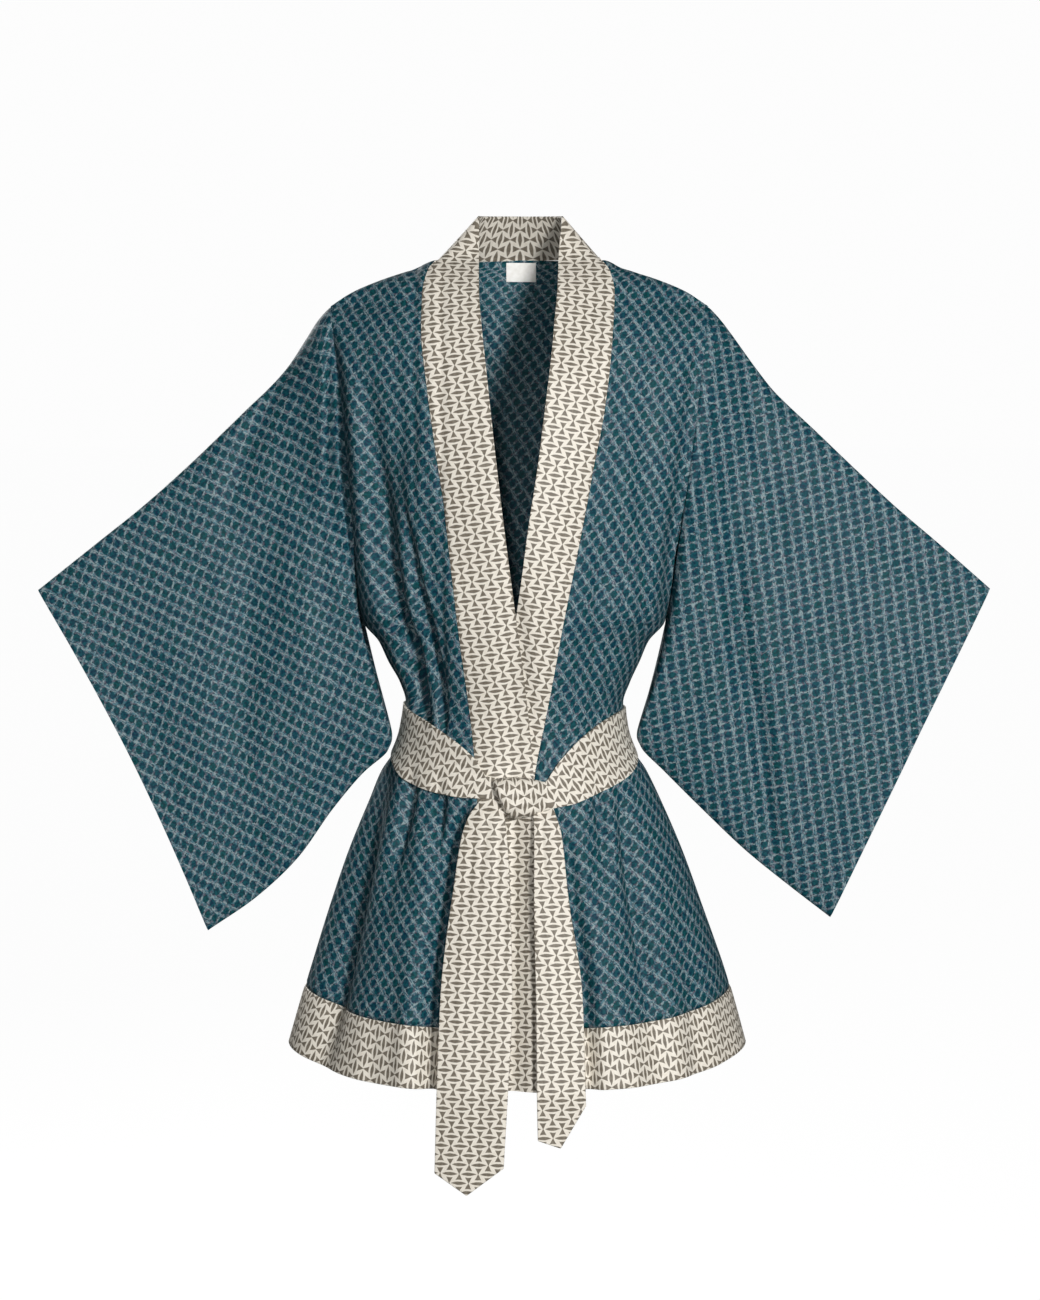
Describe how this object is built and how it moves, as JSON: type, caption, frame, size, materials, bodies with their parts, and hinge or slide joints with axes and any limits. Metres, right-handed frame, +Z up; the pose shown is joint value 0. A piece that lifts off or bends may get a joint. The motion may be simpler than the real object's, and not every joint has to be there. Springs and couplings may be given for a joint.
{
  "type": "belted kimono robe",
  "caption": "Short belted kimono robe, hollow as worn, with wide open sleeves, a contrast neckband, hem band and a knotted sash belt with two hanging ends.",
  "frame": {"origin": "on the shoulders, midway between the two points where the shoulder seams meet the neck, which is where the wearer holds it up", "axes": "+Z up out of the neck, +X to the wearer's left, -Y to the front"},
  "size_m": [0.9496, 0.3027, 0.9481],
  "materials": {
    "teal_print": "soft satin, dark teal ovals on a pale blue-grey net",
    "contrast_print": "soft satin, taupe lens and hourglass motifs on cream",
    "label_tape": "matt white woven tape, blank"
  },
  "bodies": {
    "root": {"back": "teal_print", "front_right": "teal_print", "front_left": "teal_print", "sleeve_right_front": "teal_print", "sleeve_right_back": "teal_print", "sleeve_left_front": "teal_print", "sleeve_left_back": "teal_print", "hem_band_back": "contrast_print", "hem_band_front_right": "contrast_print", "hem_band_front_left": "contrast_print", "neckband_right": "contrast_print", "neckband_left": "contrast_print", "belt_right": "contrast_print", "belt_left": "contrast_print", "belt_back": "contrast_print", "belt_knot": "contrast_print", "tie_long": "contrast_print", "tie_short": "contrast_print", "label": "label_tape"}
  },
  "joints": []
}
